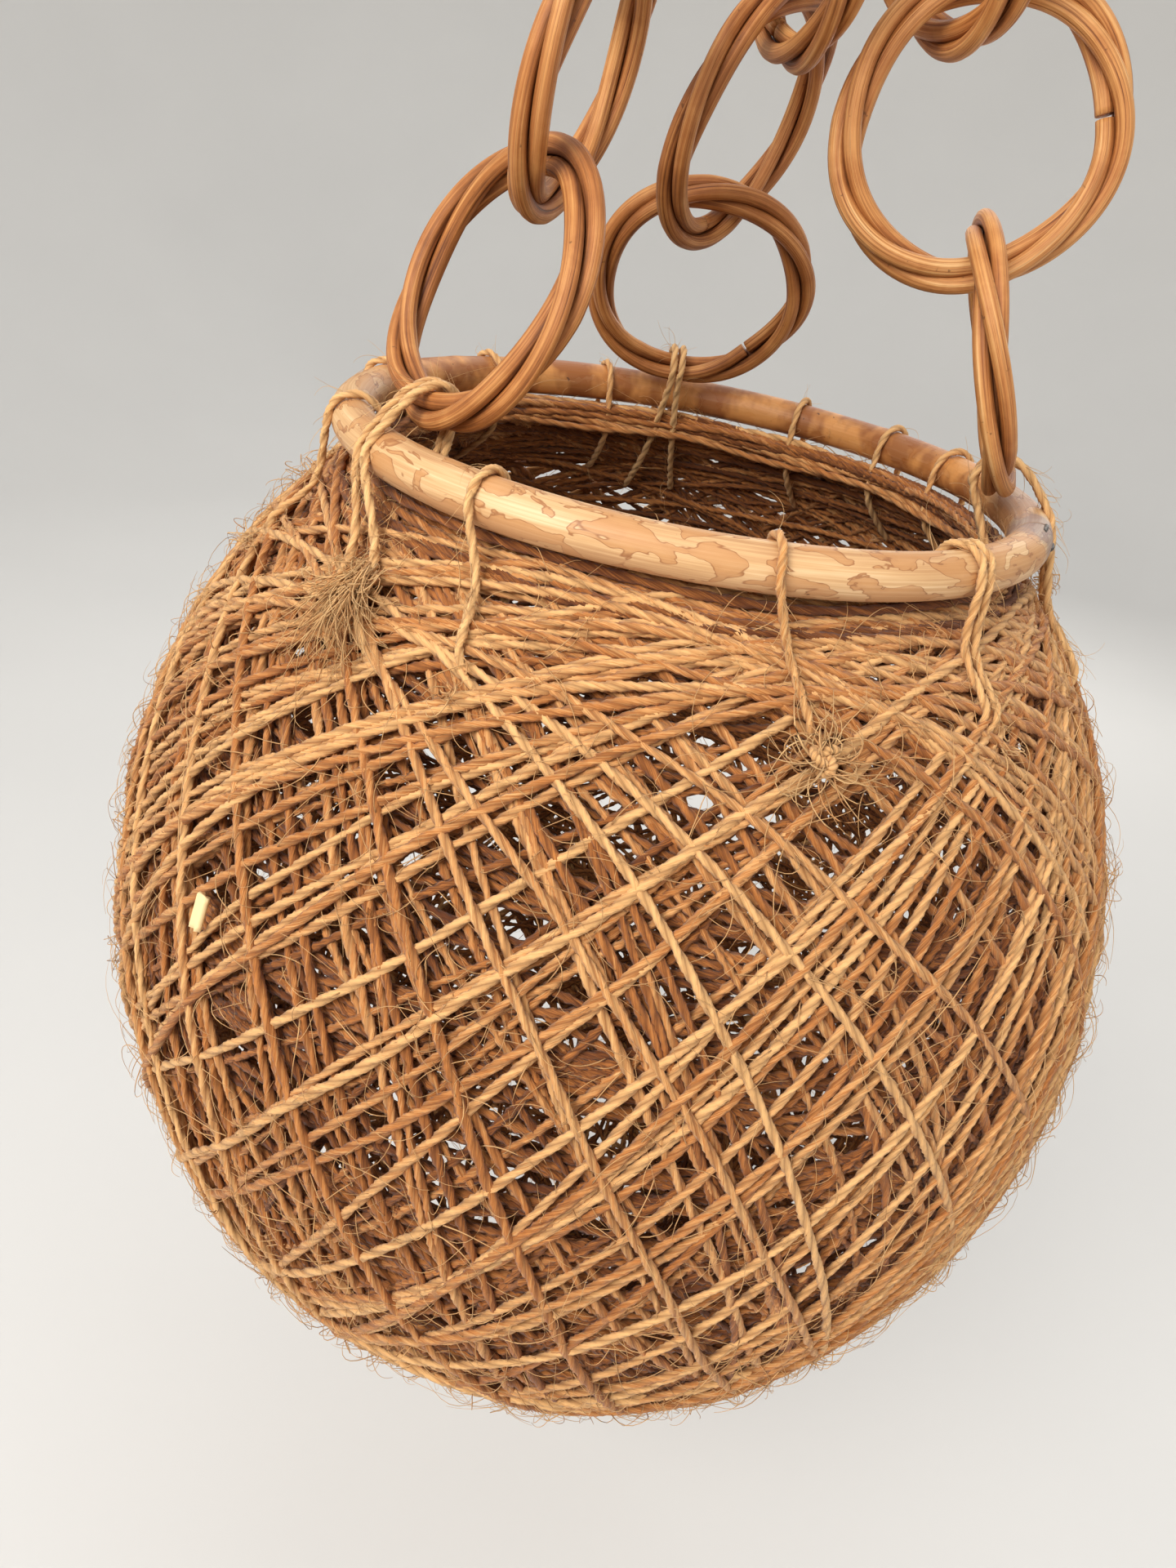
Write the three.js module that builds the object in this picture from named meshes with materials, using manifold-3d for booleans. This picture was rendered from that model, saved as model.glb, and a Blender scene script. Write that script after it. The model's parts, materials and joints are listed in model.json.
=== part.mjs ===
// Hanging planter: a ball wound from twine, sewn to a cane rim and hung on three chains of rattan rings.
// Millimetres, +Z up. The origin is the hook seat, the point inside the top ring that rests on a hook.
import * as THREE from "three";
import { mergeVertices } from "three/addons/utils/BufferGeometryUtils.js";
import Module from "manifold-3d";

// Driving dimensions.
const RIM_RADIUS = 95;
const CANE_RADIUS = 5.75;
const TWINE_RADIUS = 1.25;
const HOOK_RING_RADIUS = 32.3;
const GATHERING_RING_RADIUS = 55;
const BUNDLE_RADIUS = 4.75;
const BALL_RADIUS = 159.6;
const BALL_HALF_HEIGHT = 176.7;
const BALL_CENTRE_DROP = 151;
const WALL = 8;
const SEWING_SLACK = 1;
const TIE_SLACK = 1.3;
const STAPLE_CROWN = 9;
const STAPLE_LEG = 4;
const STAPLE_WIRE = 0.6;
const STAPLE_BEND = 1;
const GAP = 0.4;
const TOP_RING_ROOM = 0.8;

// Places, measured from the centre of the rim. Azimuths are counted from +X towards +Y.
const BALL_TOP = -6.3;
const GATHER_BAR_HEIGHT = 149;
const GATHER_BAR_AZIMUTH = 18;
const CHAIN_FOOT_HEIGHT = 10;
const CHAIN_FOOT_RADIUS = 84;
const LASHING_AZIMUTHS = [29, 46, 68, 112, 140, 172, 204, 244, 283, 314];
const LASHING_DEPTH = 30;
const TIE_DEPTH = 36;
const RIM_JOINT_AZIMUTH = 343;
const RIM_JOINT_SLANT = 50;
const STAPLE_ANGLES = { upper: 62, lower: 8 };

// Each chain: its place on the rim, where its top ring sits along the gathering ring's bar, and how far
// each of its rings, from the rim upwards, is turned about the chain from lying flat in the chains' cone.
const CHAINS = [
  { name: "front_left", azimuth: 222, barPlace: -22.3, turns: [-8, 126, 9] },
  { name: "rear", azimuth: 98, barPlace: 3.8, turns: [-2, 51, -76] },
  { name: "right", azimuth: 355, barPlace: 27.5, turns: [5, 102, 40] },
];

// Mesh resolution.
const RING_STEPS = 24;
const BUNDLE_SIDES = 8;
const BALL_STEPS = 36;
const PROFILE_STEPS = 10;
const LOOP_STEPS = 18;
const TWINE_SIDES = 5;
const RIM_STEPS = 48;
const CANE_SIDES = 8;
const STAPLE_STEPS = 14;
const STAPLE_SIDES = 6;

// The distance between the middles of two bundles that hang on each other.
const LINK_GRIP = 2 * BUNDLE_RADIUS + GAP;

const cane = new THREE.MeshStandardMaterial({ color: 0xdcb98a, roughness: 0.55 });
const rattan = new THREE.MeshStandardMaterial({ color: 0xc68a4c, roughness: 0.5 });
const twine = new THREE.MeshStandardMaterial({ color: 0xb98a50, roughness: 0.95 });
const steel = new THREE.MeshStandardMaterial({ color: 0x3a332c, roughness: 0.6, metalness: 0.8 });

const wasm = await Module();
wasm.setup();

function radians(degrees) {
  return THREE.MathUtils.degToRad(degrees);
}

// A closed geometry as a solid that can be cut.
function toSolid(geometry) {
  const bare = geometry.index ? geometry.toNonIndexed() : geometry.clone();
  bare.deleteAttribute("normal");
  bare.deleteAttribute("uv");
  const merged = mergeVertices(bare, 1e-3);
  return new wasm.Manifold(
    new wasm.Mesh({
      numProp: 3,
      vertProperties: merged.attributes.position.array,
      triVerts: new Uint32Array(merged.index.array),
    }),
  );
}

function toGeometry(solid) {
  const mesh = solid.getMesh();
  const geometry = new THREE.BufferGeometry();
  geometry.setAttribute("position", new THREE.BufferAttribute(mesh.vertProperties, 3));
  geometry.setIndex(new THREE.BufferAttribute(mesh.triVerts, 1));
  geometry.computeVertexNormals();
  return geometry;
}

function named(name, geometry, material) {
  const mesh = new THREE.Mesh(geometry, material);
  mesh.name = name;
  return mesh;
}

// The outer radius of the ball at a height, or of a surface that lies inset from it.
function ballRadiusAt(height, inset) {
  const share = (height + BALL_CENTRE_DROP) / (BALL_HALF_HEIGHT - inset);
  return (BALL_RADIUS - inset) * Math.sqrt(1 - share * share);
}

// One side of the ball's wall, from its foot on the axis up to the mouth, as points of a lathe profile.
function wallProfile(inset) {
  const halfHeight = BALL_HALF_HEIGHT - inset;
  const mouthAngle = Math.acos((BALL_TOP + BALL_CENTRE_DROP) / halfHeight);
  const points = [];
  for (let i = 0; i <= PROFILE_STEPS; i++) {
    const angle = Math.PI + ((mouthAngle - Math.PI) * i) / PROFILE_STEPS;
    const height = halfHeight * Math.cos(angle) - BALL_CENTRE_DROP;
    const radius = i === 0 ? 0 : (BALL_RADIUS - inset) * Math.sin(angle);
    points.push(new THREE.Vector2(radius, height));
  }
  return points;
}

// The ball is an open bowl. The lathe turns about Y, so the bowl is stood up afterwards.
function ballGeometry() {
  const profile = [...wallProfile(0), ...wallProfile(WALL).reverse()];
  const geometry = new THREE.LatheGeometry(profile, BALL_STEPS);
  geometry.rotateX(Math.PI / 2);
  return geometry;
}

// A closed loop of twine through points given as [radius, height] in the radial plane of an azimuth.
function twineLoop(points, azimuth, radius) {
  const across = Math.cos(radians(azimuth));
  const along = Math.sin(radians(azimuth));
  const route = points.map(([r, z]) => new THREE.Vector3(r * across, r * along, z));
  const curve = new THREE.CatmullRomCurve3(route, true, "centripetal");
  return new THREE.TubeGeometry(curve, LOOP_STEPS, radius, TWINE_SIDES, true);
}

// The route of a twine that goes down outside the ball, in through its wall and up again on the inside.
// The over points carry it over the cane, from the inside to the outside.
function sewnRoute(depth, over) {
  const clear = TWINE_RADIUS + SEWING_SLACK;
  return [
    ...over,
    [ballRadiusAt(-depth / 2, 0) + clear, -depth / 2],
    [ballRadiusAt(-depth, 0) + clear, -depth],
    [ballRadiusAt(-depth, WALL / 2) - SEWING_SLACK, -depth - WALL / 2],
    [ballRadiusAt(-depth, WALL) - clear, -depth - SEWING_SLACK],
    [ballRadiusAt(-depth / 2, WALL) - clear, -depth / 2],
  ];
}

// A lashing goes round the cane, a little looser on the inside than on the outside.
function lashingRoute() {
  const reach = CANE_RADIUS + TWINE_RADIUS + GAP;
  return sewnRoute(LASHING_DEPTH, [
    [RIM_RADIUS - reach - 2 * SEWING_SLACK, 0],
    [RIM_RADIUS - CANE_RADIUS + 2 * SEWING_SLACK, reach],
    [RIM_RADIUS + CANE_RADIUS - SEWING_SLACK, reach - SEWING_SLACK],
    [RIM_RADIUS + reach + SEWING_SLACK, 0],
  ]);
}

// A tie also goes round the bottom of the chain's lowest ring, which lies inside the rim.
function tieRoute() {
  const reach = BUNDLE_RADIUS + TWINE_RADIUS + TIE_SLACK;
  const shoulder = CHAIN_FOOT_HEIGHT + BUNDLE_RADIUS;
  return sewnRoute(TIE_DEPTH, [
    [CHAIN_FOOT_RADIUS - reach, CHAIN_FOOT_HEIGHT - BUNDLE_RADIUS],
    [CHAIN_FOOT_RADIUS - reach + TIE_SLACK, shoulder],
    [CHAIN_FOOT_RADIUS, CHAIN_FOOT_HEIGHT + reach + GAP],
    [CHAIN_FOOT_RADIUS + 2 * BUNDLE_RADIUS, shoulder - SEWING_SLACK],
    [RIM_RADIUS + CANE_RADIUS + TWINE_RADIUS + TIE_SLACK, SEWING_SLACK],
  ]);
}

// The line of a chain, from its foot inside the rim up to the gathering ring's bar, and the frame in which
// its rings are turned. Its rings are as large as it takes to pass over the bar with room to swing on it.
function chainFrame(chain) {
  const azimuth = radians(chain.azimuth);
  const foot = new THREE.Vector3(
    CHAIN_FOOT_RADIUS * Math.cos(azimuth),
    CHAIN_FOOT_RADIUS * Math.sin(azimuth),
    CHAIN_FOOT_HEIGHT,
  );
  const barTurn = radians(GATHER_BAR_AZIMUTH);
  const rise = GATHERING_RING_RADIUS - Math.sqrt(GATHERING_RING_RADIUS ** 2 - chain.barPlace ** 2);
  const top = new THREE.Vector3(
    chain.barPlace * Math.cos(barTurn),
    chain.barPlace * Math.sin(barTurn),
    GATHER_BAR_HEIGHT + rise,
  );
  const pitch = (top.distanceTo(foot) + TOP_RING_ROOM) / chain.turns.length;
  const ringRadius = (pitch + LINK_GRIP) / 2;
  const up = top.clone().sub(foot).normalize();
  const sideways = new THREE.Vector3().crossVectors(up, new THREE.Vector3(0, 0, 1)).normalize();
  const outOfCone = new THREE.Vector3().crossVectors(sideways, up);
  return { foot, pitch, ringRadius, up, sideways, outOfCone };
}

function ringMesh(name, radius, centre, up, normal) {
  const ring = new THREE.TorusGeometry(radius, BUNDLE_RADIUS, BUNDLE_SIDES, RING_STEPS);
  const mesh = named(name, ring, rattan);
  const across = new THREE.Vector3().crossVectors(normal, up);
  mesh.quaternion.setFromRotationMatrix(new THREE.Matrix4().makeBasis(up, across, normal));
  mesh.position.copy(centre);
  return mesh;
}

function chainRings(chain) {
  const frame = chainFrame(chain);
  const rings = new THREE.Group();
  chain.turns.forEach((degrees, i) => {
    const centre = frame.foot.clone().addScaledVector(frame.up, frame.ringRadius + i * frame.pitch);
    const normal = frame.outOfCone.clone().multiplyScalar(Math.cos(radians(degrees)));
    normal.addScaledVector(frame.sideways, Math.sin(radians(degrees)));
    const name = `chain_ring_${chain.name}_${i + 1}`;
    rings.add(ringMesh(name, frame.ringRadius, centre, frame.up, normal));
  });
  return rings;
}

// The rim is cut through on a slant where the two ends of the cane meet.
function rimSolid() {
  const hoop = toSolid(new THREE.TorusGeometry(RIM_RADIUS, CANE_RADIUS, CANE_SIDES, RIM_STEPS));
  const cut = new THREE.BoxGeometry(4 * CANE_RADIUS, GAP, 4 * CANE_RADIUS);
  cut.rotateZ(radians(RIM_JOINT_SLANT));
  cut.translate(RIM_RADIUS, 0, 0);
  cut.rotateZ(radians(RIM_JOINT_AZIMUTH));
  return hoop.subtract(toSolid(cut));
}

// A wire staple across the rim's joint: a crown that lies along the cane and two legs that go into it.
// The angle is its place round the cane's section, from outside towards the top.
function stapleGeometry(angle, clearance) {
  const half = STAPLE_CROWN / 2;
  const sink = -STAPLE_LEG - 2 * clearance;
  const bend = new THREE.CatmullRomCurve3(
    [
      new THREE.Vector3(sink, -half, 0),
      new THREE.Vector3(-STAPLE_BEND, -half, 0),
      new THREE.Vector3(0, STAPLE_BEND - half, 0),
      new THREE.Vector3(0, half - STAPLE_BEND, 0),
      new THREE.Vector3(-STAPLE_BEND, half, 0),
      new THREE.Vector3(sink, half, 0),
    ],
    false,
    "centripetal",
  );
  const section = new THREE.Shape();
  section.absarc(0, 0, STAPLE_WIRE + clearance, 0, 2 * Math.PI);
  const geometry = new THREE.ExtrudeGeometry(section, {
    steps: STAPLE_STEPS,
    curveSegments: STAPLE_SIDES,
    extrudePath: bend,
    bevelEnabled: false,
  });
  geometry.translate(CANE_RADIUS - STAPLE_WIRE / 2, 0, 0);
  geometry.rotateY(-radians(angle));
  geometry.translate(RIM_RADIUS, 0, 0);
  geometry.rotateZ(radians(RIM_JOINT_AZIMUTH));
  return geometry;
}

const planter = new THREE.Group();
const hookBarHeight = GATHER_BAR_HEIGHT + 2 * GATHERING_RING_RADIUS - LINK_GRIP;
const hookSeatHeight = hookBarHeight + 2 * HOOK_RING_RADIUS - BUNDLE_RADIUS;
planter.position.z = -hookSeatHeight;

// The ball's wall has a clear hole wherever a lashing or a tie goes through it.
let ball = toSolid(ballGeometry());
function addSewnLoop(name, route, azimuth) {
  planter.add(named(name, twineLoop(route, azimuth, TWINE_RADIUS), twine));
  ball = ball.subtract(toSolid(twineLoop(route, azimuth, TWINE_RADIUS + GAP)));
}

LASHING_AZIMUTHS.forEach((azimuth, i) => addSewnLoop(`rim_lashing_${i + 1}`, lashingRoute(), azimuth));
CHAINS.forEach((chain) => {
  addSewnLoop(`chain_tie_${chain.name}`, tieRoute(), chain.azimuth);
  planter.add(chainRings(chain));
});
planter.add(named("twine_ball", toGeometry(ball), twine));

let rim = rimSolid();
Object.entries(STAPLE_ANGLES).forEach(([place, angle]) => {
  planter.add(named(`rim_staple_${place}`, stapleGeometry(angle, 0), steel));
  rim = rim.subtract(toSolid(stapleGeometry(angle, GAP)));
});
planter.add(named("rim_cane", toGeometry(rim), cane));

const barTurn = radians(GATHER_BAR_AZIMUTH);
const zUp = new THREE.Vector3(0, 0, 1);
const gatherNormal = new THREE.Vector3(-Math.sin(barTurn), Math.cos(barTurn), 0);
const hookNormal = new THREE.Vector3(Math.cos(barTurn), Math.sin(barTurn), 0);
const gatherCentre = new THREE.Vector3(0, 0, GATHER_BAR_HEIGHT + GATHERING_RING_RADIUS);
const hookCentre = new THREE.Vector3(0, 0, hookBarHeight + HOOK_RING_RADIUS);
planter.add(ringMesh("gathering_ring", GATHERING_RING_RADIUS, gatherCentre, zUp, gatherNormal));
planter.add(ringMesh("hook_ring", HOOK_RING_RADIUS, hookCentre, zUp, hookNormal));

const part = new THREE.Group();
part.add(planter);
export default part;
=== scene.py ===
"""The looks of a hanging planter: a ball wound from coir twine, a peeled cane rim and twisted rattan rings.

Lengths are metres and angles are degrees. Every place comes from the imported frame.
"""

import json
import math
from typing import NamedTuple

import bpy
import numpy as np
from mathutils import Matrix, Vector


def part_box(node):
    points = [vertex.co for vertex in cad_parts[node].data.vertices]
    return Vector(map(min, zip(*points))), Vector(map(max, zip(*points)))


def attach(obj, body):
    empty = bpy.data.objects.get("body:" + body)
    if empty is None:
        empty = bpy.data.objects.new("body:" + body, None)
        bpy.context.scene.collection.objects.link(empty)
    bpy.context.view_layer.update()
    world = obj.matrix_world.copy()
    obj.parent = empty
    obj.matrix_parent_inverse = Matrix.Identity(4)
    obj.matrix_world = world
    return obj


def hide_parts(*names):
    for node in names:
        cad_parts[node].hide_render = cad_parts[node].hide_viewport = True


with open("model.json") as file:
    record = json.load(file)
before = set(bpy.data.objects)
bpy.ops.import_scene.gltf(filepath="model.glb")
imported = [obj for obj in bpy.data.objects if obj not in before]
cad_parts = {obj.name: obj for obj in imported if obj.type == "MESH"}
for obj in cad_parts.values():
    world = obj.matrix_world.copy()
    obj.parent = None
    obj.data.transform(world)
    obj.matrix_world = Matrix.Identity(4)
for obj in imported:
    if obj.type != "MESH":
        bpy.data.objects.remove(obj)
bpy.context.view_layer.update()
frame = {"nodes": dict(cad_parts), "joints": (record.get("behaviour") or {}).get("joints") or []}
rng = np.random.default_rng(11)

MM = 0.001
UP = np.array([0.0, 0.0, 1.0])
BODY = "basket"

# What the frame says about the rim and the ball. The ball's middle and its wall are the CAD's own sizes.
BALL_DROP = 151 * MM
WALL = 8 * MM
rim_low, rim_high = (np.array(corner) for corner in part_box("rim_cane"))
ball_low, ball_high = (np.array(corner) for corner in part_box("twine_ball"))
CANE_RADIUS = (rim_high[2] - rim_low[2]) / 2
RIM_RADIUS = (rim_high[0] - rim_low[0]) / 2 - CANE_RADIUS
RIM_CENTRE = (rim_low + rim_high) / 2
BALL_CENTRE = RIM_CENTRE - UP * BALL_DROP
BALL_RADIUS = (ball_high[0] - ball_low[0]) / 2
BALL_HALF_HEIGHT = BALL_CENTRE[2] - ball_low[2]
BALL_SIZE = np.array([BALL_RADIUS, BALL_RADIUS, BALL_HALF_HEIGHT])
MOUTH_ANGLE = math.degrees(math.acos((ball_high[2] - BALL_CENTRE[2]) / BALL_HALF_HEIGHT))
CROWDED_HEIGHT = RIM_CENTRE[2] - 35 * MM  # above it, the turns crowd together round the mouth
staple_low, staple_high = (np.array(corner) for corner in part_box("rim_staple_upper"))
JOINT_PLACE = (staple_low + staple_high) / 2

# Twine: a section gives the share of the radius at each corner, and a lay is the length of one twist.
TWINE_RADIUS = 1.25 * MM
TWINE_SIZES = (0.94, 1.18)
TWINE_LAY = 17 * MM
TWINE_STEP = 2 * MM
COARSE_STEP = 1.6 * TWINE_STEP
SEWING_STEP = 1.2 * MM
TWO_PLY = np.array([1, 0.93, 0.68, 0.93, 1, 0.93, 0.68, 0.93])
COARSE_PLY = np.array([1, 0.84, 0.84, 1, 0.84, 0.84])
COLLAR_TURNS, COLLAR_POINTS = 18, 420  # the level turns under the rim, and the points of each

# Loose fibres: three sides, and nine points along each.
HAIR = np.ones(3)
HAIR_POINTS = 9
FIBRES, FIBRES_IF_QUICK = 8000, 1500
PRESSED_FLAT = 0.65  # the share of fibres left out where the turns crowd together
LONGEST_FIBRE = 42 * MM

# Rattan: a vine with slightly flattened sides, which goes three times round each ring.
rattan_corner = np.arange(14) * 2 * np.pi / 14
RATTAN_SIDES = 1 + 0.05 * np.cos(2 * rattan_corner) + 0.03 * np.cos(3 * rattan_corner + 1)
RATTAN_STEP = 1.6 * MM
LAPS = 3
TURNS_PER_LAP = 5 / 3  # of the twist, on a ring as small as a chain's
SMALL_RING = 31.5 * MM  # the radius of a chain's ring
CUT_GAP = 0.006  # between the vine's two cut ends, in laps

# A piece is closed once it holds over this many quads, and a new one is begun. A piece of over 200,000
# faces would be thinned when it is exported, so a full one is closed before that.
MOST_QUADS = 91_000

# Azimuths, in degrees, of the stretch of the rim seen in front, and of two lashings unlike the others.
FRONT = (235, 295)
DOUBLED_LASHING = (310, 320)
KNOTTED_LASHING = (280, 286)


# ---------------------------------------------------------------- mesh building


def direction(azimuth):
    angle = math.radians(azimuth)
    return np.array([math.cos(angle), math.sin(angle), 0.0])


def unit(vectors):
    return vectors / np.maximum(np.linalg.norm(vectors, axis=-1, keepdims=True), 1e-12)


def waves(count, harmonics, scale=1.0):
    """A smooth closed random curve of count values, about scale high."""
    turn = np.linspace(0, 2 * np.pi, count, endpoint=False)
    total = np.zeros(count)
    for k in harmonics:
        total += rng.normal() * np.cos(k * turn + rng.uniform(0, 2 * np.pi))
    return scale * total / math.sqrt(len(harmonics))


def carried_normals(path, first):
    """Normals that follow a path without turning about it."""
    tangents = unit(np.gradient(path, axis=0))
    normals = np.empty_like(path)
    normal = first
    for i, tangent in enumerate(tangents):
        normal = unit(normal - tangent * (normal @ tangent))
        normals[i] = normal
    return tangents, normals


# Each strand's fibres start somewhere else along the noise that colours them, up to this far.
FIBRE_STARTS = 50


class Strands:
    """Many tubes in one mesh, each point knowing its place along and round its own strand."""

    def __init__(self):
        self.points, self.quads, self.caps = [], [], []
        self.fibre, self.tint = [], []
        self.count = 0
        self.quad_count = 0

    def add(self, path, tangents, normals, radius, section, turn, tint, closed):
        """Sweeps a section along a path. radius and turn have a value at each point of the path."""
        count, sides = len(path), len(section)
        sideways = np.cross(tangents, normals)
        angle = turn[:, None] + np.linspace(0, 2 * np.pi, sides, endpoint=False)[None]
        reach = radius[:, None] * section[None]
        points = (
            path[:, None]
            + (reach * np.cos(angle))[..., None] * normals[:, None]
            + (reach * np.sin(angle))[..., None] * sideways[:, None]
        )
        along = np.concatenate([[0], np.cumsum(np.linalg.norm(np.diff(path, axis=0), axis=1))])
        around = np.linspace(0, 2 * np.pi, sides, endpoint=False)
        fibre = np.stack(
            [
                np.repeat(along + rng.uniform(0, FIBRE_STARTS), sides),
                np.tile(np.cos(around), count),
                np.tile(np.sin(around), count),
            ],
            axis=1,
        )
        rows = np.arange(count if closed else count - 1)
        here = rows[:, None] * sides + np.arange(sides)[None]
        there = ((rows + 1) % count)[:, None] * sides + np.arange(sides)[None]
        quads = np.stack(
            [here, np.roll(here, -1, axis=1), np.roll(there, -1, axis=1), there], axis=-1
        ).reshape(-1, 4)
        self.quads.append(quads + self.count)
        if not closed:
            ends = np.array([np.arange(sides)[::-1], (count - 1) * sides + np.arange(sides)])
            self.caps.append(ends + self.count)
        self.points.append(points.reshape(-1, 3))
        self.fibre.append(fibre)
        self.tint.append(np.broadcast_to(tint, (count, sides)).ravel())
        self.count += count * sides
        self.quad_count += len(quads)

    def build(self, name, material, body, slot, replaces=()):
        """Makes one named piece of all the strands. It rides on a body and replaces CAD nodes."""
        points = np.concatenate(self.points)
        mesh = bpy.data.meshes.new(name)
        mesh.vertices.add(len(points))
        mesh.vertices.foreach_set("co", points.astype(np.float32).ravel())
        quads = np.concatenate(self.quads)
        loops = [quads.ravel()]
        sizes = [np.full(len(quads), 4)]
        for cap in self.caps:
            loops.append(cap.ravel())
            sizes.append(np.full(len(cap), cap.shape[1]))
        loops = np.concatenate(loops)
        sizes = np.concatenate(sizes)
        mesh.loops.add(len(loops))
        mesh.loops.foreach_set("vertex_index", loops.astype(np.int32))
        mesh.polygons.add(len(sizes))
        starts = np.concatenate([[0], np.cumsum(sizes)[:-1]])
        mesh.polygons.foreach_set("loop_start", starts.astype(np.int32))
        mesh.polygons.foreach_set("use_smooth", np.ones(len(sizes), bool))
        mesh.update(calc_edges=True)
        attribute = mesh.attributes.new("fibre", "FLOAT_VECTOR", "POINT")
        attribute.data.foreach_set("vector", np.concatenate(self.fibre).astype(np.float32).ravel())
        attribute = mesh.attributes.new("tint", "FLOAT", "POINT")
        attribute.data.foreach_set("value", np.concatenate(self.tint).astype(np.float32))
        piece = bpy.data.objects.new(name, mesh)
        bpy.context.scene.collection.objects.link(piece)
        mesh.materials.append(material)
        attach(piece, body)
        if replaces:
            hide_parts(*replaces)


def smooth_loop(points):
    """A closed Catmull-Rom curve through a few points, sampled about every sewing step."""
    points = np.concatenate([points[-1:], points, points[:2]])
    out = []
    for i in range(1, len(points) - 2):
        before, start, end, after = points[i - 1 : i + 3]
        count = max(2, int(round(np.linalg.norm(end - start) / SEWING_STEP)))
        for t in np.arange(count) / count:
            out.append(
                0.5
                * (
                    2 * start
                    + (end - before) * t
                    + (2 * before - 5 * start + 4 * end - after) * t * t
                    + (3 * start - before - 3 * end + after) * t * t * t
                )
            )
    return np.array(out)


def loop_tangents(path):
    return unit(np.roll(path, -1, axis=0) - np.roll(path, 1, axis=0))


# ---------------------------------------------------------------- materials


class Nodes:
    """A material's node tree, with one method for each kind of node that it needs."""

    def __init__(self, name):
        self.material = bpy.data.materials.new(name)
        self.material.use_nodes = True
        self.tree = self.material.node_tree
        self.shader = self.tree.nodes["Principled BSDF"]

    def node(self, kind, **values):
        made = self.tree.nodes.new(kind)
        for key, value in values.items():
            setattr(made, key, value)
        return made

    def link(self, source, target):
        self.tree.links.new(source, target)

    def attribute(self, name, output):
        return self.node("ShaderNodeAttribute", attribute_name=name).outputs[output]

    def position(self):
        return self.node("ShaderNodeTexCoord").outputs["Object"]

    def scaled(self, vector, scale):
        made = self.node("ShaderNodeVectorMath", operation="MULTIPLY")
        self.link(vector, made.inputs[0])
        made.inputs[1].default_value = scale
        return made.outputs[0]

    def noise(self, vector, scale, detail=3.0, roughness=0.6, distortion=0.0):
        made = self.node("ShaderNodeTexNoise")
        self.link(vector, made.inputs["Vector"])
        made.inputs["Scale"].default_value = scale
        made.inputs["Detail"].default_value = detail
        made.inputs["Roughness"].default_value = roughness
        made.inputs["Distortion"].default_value = distortion
        return made.outputs["Fac"]

    def ramp(self, value, *stops):
        """A ramp through (place, grey) or (place, colour) stops."""
        made = self.node("ShaderNodeValToRGB")
        self.link(value, made.inputs["Fac"])
        band = made.color_ramp
        while len(band.elements) < len(stops):
            band.elements.new(1.0)
        for element, (place, colour) in zip(band.elements, stops):
            element.position = place
            element.color = (*((colour,) * 3 if np.isscalar(colour) else colour), 1)
        return made.outputs["Color"]

    def math(self, operation, first, second=0.0, third=0.0):
        made = self.node("ShaderNodeMath", operation=operation)
        for socket, value in zip(made.inputs, (first, second, third)):
            if isinstance(value, (int, float)):
                socket.default_value = value
            else:
                self.link(value, socket)
        return made.outputs[0]

    def mix(self, factor, first, second, blend="MIX"):
        made = self.node("ShaderNodeMix", data_type="RGBA", blend_type=blend)
        for socket, value in ((made.inputs[0], factor), (made.inputs[6], first), (made.inputs[7], second)):
            if isinstance(value, (int, float)):
                socket.default_value = value
            elif isinstance(value, tuple):
                socket.default_value = (*value, 1)
            else:
                self.link(value, socket)
        return made.outputs[2]

    def parts(self, vector):
        made = self.node("ShaderNodeSeparateXYZ")
        self.link(vector, made.inputs[0])
        return made.outputs

    def bump(self, height, strength, distance):
        made = self.node("ShaderNodeBump")
        made.inputs["Strength"].default_value = strength
        made.inputs["Distance"].default_value = distance
        self.link(height, made.inputs["Height"])
        self.link(made.outputs[0], self.shader.inputs["Normal"])


def colour(red, green, blue):
    """A colour given as it looks on screen, from 0 to 255, as linear light."""
    shares = (red / 255, green / 255, blue / 255)
    return tuple(c / 12.92 if c <= 0.04045 else ((c + 0.055) / 1.055) ** 2.4 for c in shares)


def twine_material(name, dark, middle, pale):
    """Spun coir: fibres that run along the plies, with painted shade in the grooves between them."""
    m = Nodes(name)
    fibre = m.attribute("fibre", "Vector")
    tint = m.attribute("tint", "Fac")
    streaks = m.noise(m.scaled(fibre, (110, 4.2, 4.2)), 1.0, 3.0, 0.7)
    coarse = m.noise(m.scaled(fibre, (45, 1.3, 1.3)), 1.0, 2.0, 0.5)
    patches = m.noise(m.position(), 26.0, 3.0, 0.6)
    level = m.math("MULTIPLY_ADD", streaks, 0.85, m.math("MULTIPLY", coarse, 0.35))
    # Each strand's tint shifts its tone at random, and the lower tints of the inner turns are painted shade
    # deep in the winding.
    level = m.math("ADD", level, m.math("MULTIPLY_ADD", tint, 0.5, -0.27))
    level = m.math("ADD", level, m.math("MULTIPLY_ADD", patches, 0.3, -0.15))
    shade = m.ramp(level, (0.22, dark), (0.5, middle), (0.8, pale))
    # Painted shade: the grooves between the two plies are mixed towards the dark colour.
    around = m.parts(fibre)[2]
    groove_shade = m.math("POWER", m.math("ABSOLUTE", around), 5.0)
    shade = m.mix(m.math("MULTIPLY", groove_shade, 0.6), shade, dark)
    m.link(shade, m.shader.inputs["Base Color"])
    m.link(m.ramp(streaks, (0.3, 0.62), (0.7, 0.9)), m.shader.inputs["Roughness"])
    m.shader.inputs["Specular IOR Level"].default_value = 0.28
    m.shader.inputs["Sheen Weight"].default_value = 0.12
    m.shader.inputs["Sheen Roughness"].default_value = 0.5
    m.bump(streaks, 0.75, 0.35 * MM)
    return m.material


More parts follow.
